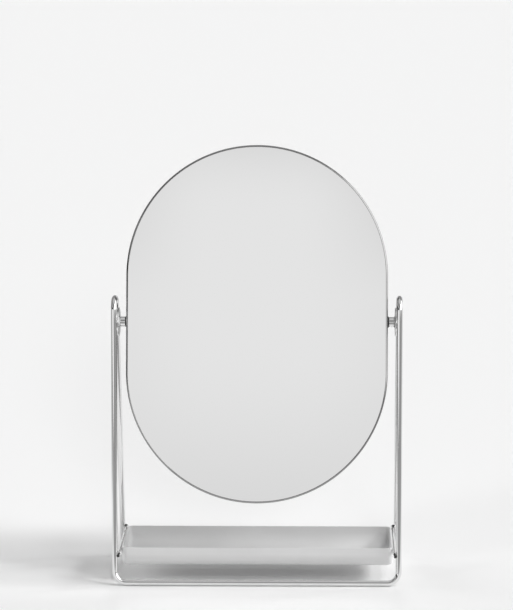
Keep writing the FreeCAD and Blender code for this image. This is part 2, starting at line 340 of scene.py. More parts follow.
@dataclass(frozen=True)
class SilveredGlass:
    """Float glass silvered behind: clean reflection, a breath of dust and wiping haze."""

    name: str = "silvered_glass"
    grey: float = 0.90
    dusty: float = 0.02
    dust_size: float = 0.0009
    dust_band: Stops = ((0.60, 1.0), (0.80, 0.0))
    wipe_size: float = 0.045
    wipe_tall: float = 2.2
    wipe_gloss: Stops = ((0.45, 0.004), (0.85, 0.03))
    face: float = 0.35
    face_gloss: float = 0.01

    def build(self) -> bpy.types.Material:
        """Make the material.

        Returns:
            The material.
        """
        surface = Surface(self.name)
        rough = surface.ramp(surface.noise(self.wipe_size, DETAIL_HIGH, self.wipe_tall), self.wipe_gloss)
        clean = surface.ramp(surface.noise(self.dust_size, DETAIL_LOW), self.dust_band)
        colour = surface.mix_grey(clean, self.grey - self.dusty, self.grey)
        surface.shade(Base_Color=colour, Metallic=1.0, Roughness=rough, Coat_Weight=self.face,
                      Coat_Roughness=self.face_gloss)
        return surface.material


@dataclass(frozen=True)
class PowderCoat:
    """Satin paint with the fine orange-peel of a powder coat."""

    name: str
    grey: float = 0.755
    shading: float = 0.012
    cloud_size: float = 0.03
    cloud_band: Stops = ((0.3, 0.0), (0.7, 1.0))
    gloss: float = 0.42
    rub: float = 0.09
    rub_size: float = 0.012
    rub_band: tuple[float, float] = (0.35, 0.75)
    peel: float = 0.00075
    depth: float = 0.000012
    film: float = 0.15
    film_gloss: float = 0.3

    def build(self) -> bpy.types.Material:
        """Make the material.

        Returns:
            The material.
        """
        surface = Surface(self.name)
        cloud = surface.ramp(surface.noise(self.cloud_size, DETAIL_LOW), self.cloud_band)
        colour = surface.mix_grey(cloud, self.grey - self.shading, self.grey + self.shading)
        fresh, rubbed = self.rub_band
        stops = ((fresh, self.gloss), (rubbed, self.gloss + self.rub))
        rough = surface.ramp(surface.noise(self.rub_size), stops)
        surface.shade(Base_Color=colour, Roughness=rough, Coat_Weight=self.film,
                      Coat_Roughness=self.film_gloss)
        surface.relief(surface.noise(self.peel, DETAIL_LOW), self.depth)
        return surface.material


@dataclass(frozen=True)
class Matte:
    """Plain moulded, rolled or fibrous stuff: rubber, nylon, foam, board or zinc plate."""

    name: str
    colour: Sequence[float]
    rough: float
    grain: float
    depth: float
    metal: float = 0.0
    spread: float = 0.12
    uneven: float = 0.06
    band: tuple[float, float] = (0.2, 0.8)

    def build(self) -> bpy.types.Material:
        """Make the material.

        Returns:
            The material.
        """
        surface = Surface(self.name)
        grain = surface.noise(self.grain, DETAIL_HIGH)
        dark = [part * (1.0 - self.spread) for part in self.colour]
        light = [min(1.0, part * (1.0 + self.spread)) for part in self.colour]
        colour = surface.mix(grain, dark, light)
        low, high = self.band
        rough = surface.ramp(grain, ((low, self.rough - self.uneven), (high, self.rough + self.uneven)))
        surface.shade(Base_Color=colour, Roughness=rough, Metallic=self.metal)
        surface.relief(grain, self.depth)
        return surface.material


Finish = Union[Chrome, SilveredGlass, PowderCoat, Matte]

FINISHES: dict[Slot, Finish] = {
    Slot.STAND: Chrome("stand_chrome"),
    # rim_chrome is a darkened copy of the chrome (grey 0.38 against 0.85): painted dark reflection, so the
    # band shows as a dark line round the glass.
    Slot.RIM: Chrome("rim_chrome", grey=0.38, gloss=0.03),
    Slot.FITTING: Chrome("fitting_chrome", grey=0.84, gloss=0.06),
    Slot.TRAY: PowderCoat("tray_paint"),
    Slot.SILVER: SilveredGlass(),
    Slot.CUSHION: Matte("cushion_foam", (0.03, 0.03, 0.03), 0.9, 0.0012, 0.00008),
    Slot.BOARD: Matte("filler_board", (0.36, 0.30, 0.21), 0.85, 0.0015, 0.00005),
    Slot.PANEL: PowderCoat("panel_paint", grey=0.50),
    Slot.ZINC: Matte("zinc_steel", (0.55, 0.55, 0.56), 0.36, 0.0012, 0.000006, metal=1.0),
    Slot.GASKET: Matte("gasket_rubber", (0.06, 0.06, 0.06), 0.6, 0.0006, 0.00001),
    Slot.NYLON: Matte("washer_nylon", (0.86, 0.86, 0.86), 0.5, 0.0005, 0.000006, spread=0.04),
    Slot.SCREW: Chrome("screw_steel", grey=0.72, gloss=0.14, mark=0.0005),
}

# Near-black colour of the weld beads: painted shade and painted dark reflection at the joints of rails and
# legs.
WELD_PAINTED_SHADE = Matte("weld_scale", (0.03, 0.03, 0.03), 0.5, 0.0006, 0.00003, spread=0.4)


class Finisher:
    """Builds each finish once and puts it on pieces."""

    def __init__(self) -> None:
        """Start with nothing built."""
        self.built: dict[Slot, bpy.types.Material] = {}

    def material(self, slot: Slot) -> bpy.types.Material:
        """Hand out a slot's material, made on first use.

        Args:
            slot: the material slot.

        Returns:
            The material.
        """
        if slot not in self.built:
            self.built[slot] = FINISHES[slot].build()
        return self.built[slot]

    def dress(self, piece: bpy.types.Object, slot: Slot) -> None:
        """Give a piece the slot's material.

        Args:
            piece: a mesh object.
            slot: the material slot.
        """
        piece.data.materials.clear()
        piece.data.materials.append(self.material(slot))


# ---------- Mesh helpers ----------

Loop = list[tuple[Vector, Vector]]


@dataclass(frozen=True)
class Spot:
    """A point of a section with the direction that its surface faces there."""

    out: float
    along: float
    face_out: float
    face_along: float


def turns(whole: float, steps: int) -> list[float]:
    """Divide a turn evenly.

    Args:
        whole: the whole turn, in radians.
        steps: how many steps it has.

    Returns:
        The angle at each step, from nothing to the whole turn.
    """
    return [whole * step / steps for step in range(steps + 1)]


def rounded_section(corners: Sequence[tuple[float, float, float]], steps: int,
                    closed: bool = True) -> list[Spot]:
    """Round the corners of a section that runs anticlockwise.

    Args:
        corners: out, along and bend radius of each corner; an open section keeps its two ends sharp.
        steps: facets in each bend.
        closed: whether the last corner joins the first.

    Returns:
        The section's points, with exact facing directions.
    """
    spots: list[Spot] = []
    count = len(corners)
    for index, (out, along, bend) in enumerate(corners):
        here = Vector((out, along))
        before = here - Vector(corners[index - 1][:2])
        after = Vector(corners[(index + 1) % count][:2]) - here
        if not closed and index in (0, count - 1):
            heading = (after if index == 0 else before).normalized()
            spots.append(Spot(out, along, heading.y, -heading.x))
            continue
        before.normalize()
        after.normalize()
        turn = math.atan2(before.x * after.y - before.y * after.x, before.dot(after))
        start = here - before * (bend * math.tan(abs(turn) / 2))
        side = math.copysign(1.0, turn)
        centre = start + Vector((-before.y, before.x)) * (bend * side)
        for angle in turns(turn, steps):
            spoke = Matrix.Rotation(angle, 2) @ (start - centre)
            heading = Matrix.Rotation(angle, 2) @ before
            spots.append(Spot(*(centre + spoke), heading.y, -heading.x))
    return spots


def link(name: str, data: bpy.types.ID) -> bpy.types.Object:
    """Put a mesh, curve, lamp or camera in the scene.

    Args:
        name: the object's name.
        data: what the object shows.

    Returns:
        The object, at the origin.
    """
    piece = bpy.data.objects.new(name, data)
    bpy.context.scene.collection.objects.link(piece)
    return piece


def face_outwards(mesh: bpy.types.Mesh, weld: float = 0.0) -> None:
    """Turn all the faces of a closed mesh outwards.

    Args:
        mesh: the mesh.
        weld: points closer than this are merged first.
    """
    work = bmesh.new()
    work.from_mesh(mesh)
    if weld:
        bmesh.ops.remove_doubles(work, verts=work.verts[:], dist=weld)
    bmesh.ops.recalc_face_normals(work, faces=work.faces[:])
    work.to_mesh(mesh)
    work.free()


def skin(name: str, loops: Sequence[Loop], ring: bool) -> bpy.types.Object:
    """Join a stack of closed loops into one closed surface.

    Args:
        name: the piece's name.
        loops: loops of the same length, each a list of place and facing direction.
        ring: whether the last loop joins the first; otherwise both ends are closed flat.

    Returns:
        The mesh object, shaded by the given directions.
    """
    width = len(loops[0])
    height = len(loops)
    places = [place for loop in loops for place, _ in loop]
    facing = [face for loop in loops for _, face in loop]
    faces = []
    for row in range(height if ring else height - 1):
        lower = row * width
        upper = (row + 1) % height * width
        for column in range(width):
            beside = (column + 1) % width
            faces.append((lower + column, lower + beside, upper + beside, upper + column))
    if not ring:
        faces.append(tuple(range(width))[::-1])
        faces.append(tuple(range((height - 1) * width, height * width)))
    mesh = bpy.data.meshes.new(name)
    mesh.from_pydata(places, [], faces)
    face_outwards(mesh)
    mesh.shade_smooth()
    mesh.normals_split_custom_set_from_vertices(facing)
    return link(name, mesh)


def spokes(axis: Vector, sides: int) -> list[tuple[float, Vector]]:
    """Directions that stand out from an axis all round it.

    Args:
        axis: unit direction of the axis.
        sides: how many.

    Returns:
        The turn and the unit direction of each.
    """
    first = axis.orthogonal().normalized()
    second = axis.cross(first)
    return [(turn, first * math.cos(turn) + second * math.sin(turn)) for turn in turns(math.tau, sides)[:-1]]


def spun(section: Sequence[Spot], axis: Vector, origin: Vector, sides: int) -> list[Loop]:
    """Carry a section round an axis, as on a lathe.

    Args:
        section: out is the radius, along is the distance along the axis.
        axis: unit direction of the axis.
        origin: where along is zero.
        sides: facets round the axis.

    Returns:
        A loop for each point of the section.
    """
    around = spokes(axis, sides)
    return [[(origin + axis * spot.along + spoke * spot.out, axis * spot.face_along + spoke * spot.face_out)
             for _, spoke in around] for spot in section]


def register(piece: bpy.types.Object, body: Body, slot: Slot, nodes: Sequence[str] = ()) -> None:
    """Hang a finished piece on its body's empty, hide the CAD nodes that it stands for, and log it.

    Args:
        piece: the finished object.
        body: the body that carries it.
        slot: not used.
        nodes: CAD nodes that it stands for.
    """
    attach(piece, body.value)
    if nodes:
        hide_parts(*nodes)
    LOG.info("%s rides on %s", piece.name, body.value)


class NodeTool:
    """A geometry node group with named inputs, run on a carrier and baked."""

    def __init__(self, name: str, carrier: str, kinds: dict[str, str]) -> None:
        """Open the group.

        Args:
            name: the group's name.
            carrier: name of the input for the carrier's own geometry.
            kinds: socket type of each size or piece that the nodes take, by name.
        """
        self.group = bpy.data.node_groups.new(name, "GeometryNodeTree")
        face = self.group.interface
        face.new_socket(carrier, in_out="INPUT", socket_type="NodeSocketGeometry")
        self.inputs: dict[str, str] = {}
        for label, kind in (*kinds.items(), ("Finish", "NodeSocketMaterial")):
            self.inputs[label] = face.new_socket(label, in_out="INPUT", socket_type=kind).identifier
        face.new_socket("Geometry", in_out="OUTPUT", socket_type="NodeSocketGeometry")
        self.tree = Tree(self.group)
        self.source = self.tree.add("NodeGroupInput")

    def close(self, geometry: Wire) -> None:
        """End the group with real geometry in its finish.

        Args:
            geometry: what the nodes make.
        """
        real = self.tree.add("GeometryNodeRealizeInstances", None, {"Geometry": geometry})
        finished = self.tree.add("GeometryNodeSetMaterial", None, {
            "Geometry": real, "Material": self.source.pick("Finish")})
        self.tree.add("NodeGroupOutput", None, {"Geometry": finished})

    def run(self, name: str, carrier: bpy.types.Object, values: dict[str, object],
            fit: Matrix = IN_PLACE) -> bpy.types.Object:
        """Run the nodes once and keep what they make as a plain mesh.

        Args:
            name: the finished piece's name.
            carrier: a curve or mesh object; it is removed.
            values: a value for each named input.
            fit: where the mesh goes.

        Returns:
            The finished piece, with its place in its mesh.
        """
        modifier = carrier.modifiers.new(self.group.name, "NODES")
        modifier.node_group = self.group
        for label, value in values.items():
            modifier[self.inputs[label]] = value
        graph = bpy.context.evaluated_depsgraph_get()
        mesh = bpy.data.meshes.new_from_object(carrier.evaluated_get(graph))
        mesh.name = name
        mesh.transform(fit)
        bpy.data.objects.remove(carrier)
        return link(name, mesh)


class PathSweep(NodeTool):
    """Carries a section along a path."""

    seam = 1e-7

    def __init__(self) -> None:
        """Build the nodes."""
        super().__init__("section_along_path", "Path", {"Section": "NodeSocketObject"})
        add, source = self.tree.add, self.source
        section = add("GeometryNodeObjectInfo", None, {"Object": source.pick("Section")}, "Geometry")
        swept = add("GeometryNodeCurveToMesh", None, {
            "Curve": source.pick("Path"), "Profile Curve": section, "Fill Caps": True})
        self.close(add("GeometryNodeSetShadeSmooth", None, {"Geometry": swept}))

    @staticmethod
    def closed_curve(name: str, points: Sequence[Vector], upright: bool) -> bpy.types.Object:
        """Make a closed curve of straight runs.

        Args:
            name: its name.
            points: its points.
            upright: whether sections carried along it keep their second axis upright.

        Returns:
            The curve object.
        """
        data = bpy.data.curves.new(name, "CURVE")
        data.dimensions = "3D"
        data.twist_mode = "Z_UP" if upright else "MINIMUM"
        spline = data.splines.new("POLY")
        spline.points.add(len(points) - 1)
        for point, place in zip(spline.points, points):
            point.co = (*place, 1.0)
        spline.use_cyclic_u = True
        return link(name, data)

    def sweep(self, name: str, path: Sequence[Vector], section: Sequence[Vector], finish: bpy.types.Material,
              upright: bool = False, fit: Matrix = IN_PLACE) -> bpy.types.Object:
        """Carry a closed section round a closed path.

        Args:
            name: the piece's name.
            path: the path's points.
            section: the section's points, in its own plane.
            finish: the material.
            upright: whether the section's second axis stays upright.
            fit: where the finished mesh goes.

        Returns:
            The finished piece.
        """
        outline = self.closed_curve(f"{name}_section", section, False)
        carrier = self.closed_curve(f"{name}_path", path, upright)
        piece = self.run(name, carrier, {"Section": outline, "Finish": finish}, fit)
        bpy.data.objects.remove(outline)
        face_outwards(piece.data, self.seam)
        return piece


class BeadScatter(NodeTool):
    """Sets a small uneven weld bead on every point of a carrier."""

    ripple = 900.0
    ripple_detail = 1.0
    middle = 0.5
    facets = 4
    least_stretch = (0.9, 0.95, 1.15)
    most_stretch = (1.05, 1.2, 1.45)
    seed = 7

    def __init__(self) -> None:
        """Build the nodes."""
        super().__init__("weld_beads", "Points", {
            "Radius": "NodeSocketFloat", "Unevenness": "NodeSocketFloat", "Seed": "NodeSocketInt"})
        add, source = self.tree.add, self.source
        ball = add("GeometryNodeMeshIcoSphere", None, {
            "Radius": source.pick("Radius"), "Subdivisions": self.facets})
        wave = add("ShaderNodeTexNoise", None, {
            "Vector": add("GeometryNodeInputPosition"), "Scale": self.ripple, "Detail": self.ripple_detail})
        swell = (wave - self.middle) * source.pick("Unevenness")
        push = add("ShaderNodeVectorMath", {"operation": "SCALE"}, {
            0: add("GeometryNodeInputNormal"), "Scale": swell})
        lumpy = add("GeometryNodeSetPosition", None, {"Geometry": ball, "Offset": push})
        smooth = add("GeometryNodeSetShadeSmooth", None, {"Geometry": lumpy})
        stretch = add("FunctionNodeRandomValue", {"data_type": "FLOAT_VECTOR"}, {
            "Min": self.least_stretch, "Max": self.most_stretch, "Seed": source.pick("Seed")})
        self.close(add("GeometryNodeInstanceOnPoints", None, {
            "Points": source.pick("Points"), "Instance": smooth, "Scale": stretch}))

    def scatter(self, name: str, points: Sequence[Vector], radius: float, unevenness: float,
                finish: bpy.types.Material) -> bpy.types.Object:
        """Set beads on points.

        Args:
            name: the piece's name.
            points: the beads' centres.
            radius: their radius.
            unevenness: how far their skin wanders.
            finish: the material.

        Returns:
            All the beads as one mesh.
        """
        mesh = bpy.data.meshes.new(f"{name}_points")
        mesh.from_pydata(points, [], [])
        values = {"Radius": radius, "Unevenness": unevenness, "Seed": self.seed, "Finish": finish}
        return self.run(name, link(f"{name}_points", mesh), values)


# ---------- Stand ----------

class Anchor(Enum):
    """What the weld beads of a side sit by."""

    RAIL_END = "rail end"
    FRONT_LEG = "front leg"
    REAR_LEG = "rear leg"
    TRAY = "middle of the tray's end"


@dataclass(frozen=True)
class Bead:
    """A weld bead: how far it is from the middle of the stand, behind its anchor and above the rail."""

    anchor: Anchor
    out: float
    behind: float
    above: float


@dataclass
class WireStand:
    """The closed outline of wire, and the two rails and welds inside it."""

    finisher: Finisher
    sweeper: PathSweep
    beads: BeadScatter
    loop_bend: float = 0.0076
    corner_steps: int = 20
    loop_steps: int = 32
    leg_steps: int = 24
    sides: int = 48
    rail_sides: int = 40
    rail_edge: float = 0.00035
    rail_edge_steps: int = 6
    rail_core: float = 0.0002
    bead_radius: float = 0.00088
    bead_unevenness: float = 0.0006
    bead_spots: Sequence[Bead] = (
        Bead(Anchor.RAIL_END, 0.0951, 0.0004, -0.0002),
        Bead(Anchor.FRONT_LEG, 0.0956, -0.0014, -0.0020),
        Bead(Anchor.REAR_LEG, 0.0955, 0.0, 0.0008),
        Bead(Anchor.TRAY, 0.0941, 0.0232, 0.0002),
    )

    def __post_init__(self) -> None:
        """Read the stand's sizes from the frame."""
        base_low, base_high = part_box("front_base_wire")
        _, side_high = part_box("right_side_wire")
        self.radius = (base_high.z - base_low.z) / 2
        self.half_depth = -(base_low.y + base_high.y) / 2
        self.half_width = side_high.x - self.radius
        self.corner_bend = self.half_width - base_high.x
        self.crown = side_high.z - self.radius
        rise = self.crown - self.loop_bend - self.radius
        self.reach = math.hypot(self.half_depth, rise)
        self.lean = math.atan2(self.half_depth, rise) - math.asin(self.loop_bend / self.reach)

    def right_side(self) -> list[Vector]:
        """Centre line of the right side, from the front base wire's end to the rear one's.

        Returns:
            The points, front to rear.
        """
        leg = math.sqrt(self.reach ** 2 - self.loop_bend ** 2)
        up = Vector((0.0, math.sin(self.lean), math.cos(self.lean)))
        foot = Vector((self.half_width - self.corner_bend, -self.half_depth, self.radius))
        front = []
        for turn in turns(math.pi / 2, self.corner_steps)[:-1]:
            front.append(foot + self.corner_bend * (RIGHTWARD * math.sin(turn) + up * (1.0 - math.cos(turn))))
        ankle = foot + RIGHTWARD * self.corner_bend
        for step in range(self.leg_steps):
            share = step / self.leg_steps
            front.append(ankle + up * (self.corner_bend + share * (leg - self.corner_bend)))
        centre = Vector((self.half_width, 0.0, self.crown - self.loop_bend))
        for turn in turns(math.pi / 2 - self.lean, self.loop_steps)[:-1]:
            rise = turn + self.lean
            front.append(centre + self.loop_bend * Vector((0.0, -math.cos(rise), math.sin(rise))))
        top = [Vector((self.half_width, 0.0, self.crown))]
        rear = [Vector((point.x, -point.y, point.z)) for point in reversed(front)]
        return front + top + rear

    def outline(self) -> None:
        """Make the stand's outline as one wire."""
        right = self.right_side()
        left = [Vector((-point.x, point.y, point.z)) for point in reversed(right)]
        section = [Vector((math.cos(turn), math.sin(turn), 0.0)) * self.radius
                   for turn in turns(math.tau, self.sides)[:-1]]
        piece = self.sweeper.sweep("stand_wire", right + left, section, self.finisher.material(Slot.STAND))
        register(piece, Body.STAND, Slot.STAND,
                 ("front_base_wire", "rear_base_wire", "left_side_wire", "right_side_wire"))

    def rail(self, side: Side) -> None:
        """Make the rod that carries one end of the tray.

        Args:
            side: which side.
        """
        low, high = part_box(f"{side.word}_tray_rail")
        radius = (high.z - low.z) / 2
        origin = Vector(((low.x + high.x) / 2, low.y, (low.z + high.z) / 2))
        length = high.y - low.y
        corners = ((self.rail_core, 0.0, 0.0), (radius, 0.0, self.rail_edge),
                   (radius, length, self.rail_edge), (self.rail_core, length, 0.0))
        section = rounded_section(corners, self.rail_edge_steps, closed=False)
        loops = spun(section, REARWARD, origin, self.rail_sides)
        piece = skin(f"{side.word}_rail_rod", loops, ring=False)
        self.finisher.dress(piece, Slot.STAND)
        register(piece, Body.STAND, Slot.STAND, (f"{side.word}_tray_rail",))

    def welds(self) -> None:
        """Set beads of weld where rails, legs and tray meet; their near-black colour is painted shade and
        painted dark reflection at the joints.
        """
        points = []
        for side in Side:
            low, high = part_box(f"{side.word}_tray_rail")
            height = (low.z + high.z) / 2
            leg = self.half_depth - (height - self.radius) * math.tan(self.lean)
            anchors = {Anchor.RAIL_END: low.y, Anchor.FRONT_LEG: -leg, Anchor.REAR_LEG: leg, Anchor.TRAY: 0.0}
            for bead in self.bead_spots:
                place = (side.value * bead.out, anchors[bead.anchor] + bead.behind, height + bead.above)
                points.append(Vector(place))
        # The beads' near-black colour is painted shade at the joints.
        piece = self.beads.scatter("rail_welds", points, self.bead_radius, self.bead_unevenness, WELD_PAINTED_SHADE.build())
        register(piece, Body.STAND, Slot.STAND)

    def build(self) -> None:
        """Make everything that is wire or weld."""
        self.outline()
        for side in Side:
            self.rail(side)
        self.welds()


@dataclass
class TrayPan:
    """The shallow folded pan between the sides, with its long walls rolled into the floor."""

    finisher: Finisher
    wall: float = 0.001
    long_bend: float = 0.0105
    end_bend: float = 0.004
    least_bend: float = 0.0004
    least_corner: float = 0.0006
    corner_taper: float = 0.35
    lip: float = 0.00042
    corner_steps: int = 8
    bend_steps: int = 16
    lip_steps: int = 8

    def loop(self, half_x: float, half_y: float, corner: float, height: float,
             slope_x: float, slope_y: float, inward: bool) -> Loop:
        """One level line of the pan.

        Args:
            half_x: half its length.
            half_y: half its depth.
            corner: its corner radius.
            height: its height.
            slope_x: how far the end walls face down, in radians.
            slope_y: how far the long walls face down, in radians.
            inward: whether the surface faces the inside.

        Returns:
            Places with facing directions.
        """
        line = []
        sign = -1.0 if inward else 1.0
        for quarter, (side_x, side_y) in enumerate(((1, 1), (-1, 1), (-1, -1), (1, -1))):
            centre = Vector((side_x * (half_x - corner), side_y * (half_y - corner), height))
            for step in range(self.corner_steps + 1):
                turn = math.pi / 2 * (quarter + step / self.corner_steps)
                flat = Vector((math.cos(turn), math.sin(turn), 0.0))
                slope = slope_x * flat.x ** 2 + slope_y * flat.y ** 2
                face = flat * (math.cos(slope) * sign) - UP * (math.sin(slope) * sign)
                line.append((centre + flat * corner, face))
        return line

    def wall_loops(self, low: Vector, high: Vector, inset: float, inward: bool) -> list[Loop]:
        """Level lines from the rim down to the floor.

        Args:
            low: lowest corner of the pan.
            high: highest corner of the pan.
            inset: how far the surface is inside the outer one.
            inward: whether it faces the inside.

        Returns:
            The lines, rim first.
        """
        floor = low.z + inset
        long_bend = self.long_bend - inset
        end_bend = max(self.end_bend - inset, self.least_bend)
        half_x = high.x - inset
        half_y = high.y - inset
        levels = [(high.z - self.lip, 0.0), (floor + long_bend, 0.0)]
        for turn in turns(math.pi / 2, self.bend_steps)[1:]:
            levels.append((floor + long_bend * (1.0 - math.sin(turn)), turn))
        loops = []
        for height, turn in levels:
            inset_y = long_bend * (1.0 - math.cos(turn))
            depth = min(max((floor + end_bend - height) / end_bend, 0.0), 1.0)
            end_turn = math.asin(depth)
            inset_x = end_bend * (1.0 - math.cos(end_turn))
            corner = max(self.end_bend - inset, self.least_corner) * (1.0 - self.corner_taper * depth)
            line = self.loop(half_x - inset_x, half_y - inset_y, corner, height, end_turn, turn, inward)
            loops.append(line)
        return loops

    def build(self) -> None:
        """Make and dress the pan."""
        low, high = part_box("tray")
        outer = self.wall_loops(low, high, 0.0, False)
        inner = self.wall_loops(low, high, self.wall, True)
        lip = []
        for turn in turns(math.pi, self.lip_steps)[1:-1]:
            inset = self.wall / 2 * (1.0 - math.cos(turn))
            height = high.z - self.lip + self.lip * math.sin(turn)
            corner = max(self.end_bend - inset, self.least_corner)
            line = self.loop(high.x - inset, high.y - inset, corner, height, 0.0, 0.0, False)
            lip.append([(place, (face * math.cos(turn) + UP * math.sin(turn)).normalized())
                        for place, face in line])
        piece = skin("tray_pan", outer[::-1] + lip + inner, ring=False)
        self.finisher.dress(piece, Slot.TRAY)
        register(piece, Body.STAND, Slot.TRAY, ("tray",))


# ---------- Mirror ----------

@dataclass
class MirrorHead:
    """The tilting part: chromed band, silvered glass and back panel."""

    finisher: Finisher
    sweeper: PathSweep
    lean: float = math.radians(13.0)
    half_height: float = 0.1232
    drop: float = 0.0015
    half_depth: float = 0.006
    wall: float = 0.001
    lip: float = 0.0013
    lip_thick: float = 0.0008
    roll: float = 0.00115
    fold: float = 0.0002
    fold_steps: int = 12
    glass: float = 0.002
    glass_edge: float = 0.0003
    panel: float = 0.001
    panel_edge: float = 0.0002
    plate_border: float = 0.002
    edge_steps: int = 5
    gap: float = 0.00015
    arc_steps: int = 120

    def __post_init__(self) -> None:
        """Read the width and the pivot from the frame."""
        _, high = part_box("mirror_rim")
        self.half_width = high.x
        low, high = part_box("right_spacer_barrel")
        self.pivot = Vector((0.0, 0.0, (low.z + high.z) / 2))

    @property
    def fit(self) -> Matrix:
        """Placement of the upright drawing: leaned back about the pivot."""
        return Matrix.Translation(self.pivot) @ Matrix.Rotation(-self.lean, 4, "X")

    def stadium(self, inset: float) -> Loop:
        """Outline of the mirror with its outward directions.

        Args:
            inset: how far inside the outer edge.

        Returns:
            Places and directions in the plane of the mirror, X across and Z up.
        """
        radius = self.half_width - inset
        straight = self.half_height - self.half_width
        line = []
        for end, first in ((1, 0.0), (-1, math.pi)):
            centre = UP * (end * straight - self.drop)
            for turn in turns(math.pi, self.arc_steps):
                out = Vector((math.cos(turn + first), 0.0, math.sin(turn + first)))
                line.append((centre + out * radius, out))
        return line

    def band(self) -> None:
        """Roll the chromed band round the outline."""
        front = -self.half_depth
        inner = -self.wall
        seat = front + self.lip_thick
        corners = (
            (0.0, front, self.roll), (0.0, -front, self.roll), (-self.lip, -front, self.fold),
            (-self.lip, -seat, self.fold), (inner, -seat, self.fold), (inner, seat, self.fold),
            (-self.lip, seat, self.fold), (-self.lip, front, self.fold))
        path = [Vector((place.x, place.z, 0.0)) for place, _ in self.stadium(0.0)]
        section = [Vector((spot.out, spot.along, 0.0)) for spot in rounded_section(corners, self.fold_steps)]
        tip = Matrix.Rotation(math.pi / 2, 4, "X")
        piece = self.sweeper.sweep("rim_band", path, section, self.finisher.material(Slot.RIM), True,
                                   self.fit @ tip)
        register(piece, Body.MIRROR, Slot.RIM, ("mirror_rim",))

    def plate(self, name: str, inset: float, near: float, far: float, bevel: float) -> bpy.types.Object:
        """Cut a plate to the outline, with its edges broken.

        Args:
            name: the piece's name.
            inset: how far its edge is inside the mirror's.
            near: front face, from the mid plane.
            far: back face.
            bevel: radius of the broken edges.

        Returns:
            The plate.
        """
        border = -self.plate_border
        corners = ((border, near, 0.0), (0.0, near, bevel), (0.0, far, bevel), (border, far, 0.0))
        loops = []
        for spot in rounded_section(corners, self.edge_steps, closed=False):
            loop = []
            for place, out in self.stadium(inset - spot.out):
                point = place + REARWARD * spot.along
                face = out * spot.face_out + REARWARD * spot.face_along
                loop.append((self.fit @ point, self.fit.to_3x3() @ face))
            loops.append(loop)
        return skin(name, loops, ring=False)

    def build(self) -> None:
        """Make and dress the mirror's visible pieces."""
        self.band()
        front = -self.half_depth + self.lip_thick
        edge = self.wall + self.gap / 2
        glass = self.plate("glass_plate", edge, front, front + self.glass, self.glass_edge)
        self.finisher.dress(glass, Slot.SILVER)
        register(glass, Body.MIRROR, Slot.SILVER, ("mirror_glass",))
        back = self.plate("rear_panel", edge, -front - self.panel, -front, self.panel_edge)
        self.finisher.dress(back, Slot.PANEL)
        register(back, Body.MIRROR, Slot.PANEL, ("back_panel",))


@dataclass(frozen=True)
class Ring:
    """A ring of the pivot: its CAD node and piece, named without their side, and its outer edges' radius."""

    node: str
    name: str
    body: Body
    slot: Slot
    edge: float


@dataclass(frozen=True)
class SocketLine:
    """A line round the screw's socket: its size as a share, its depth and how far it faces inwards."""

    share: float
    depth: float
    inwards: float


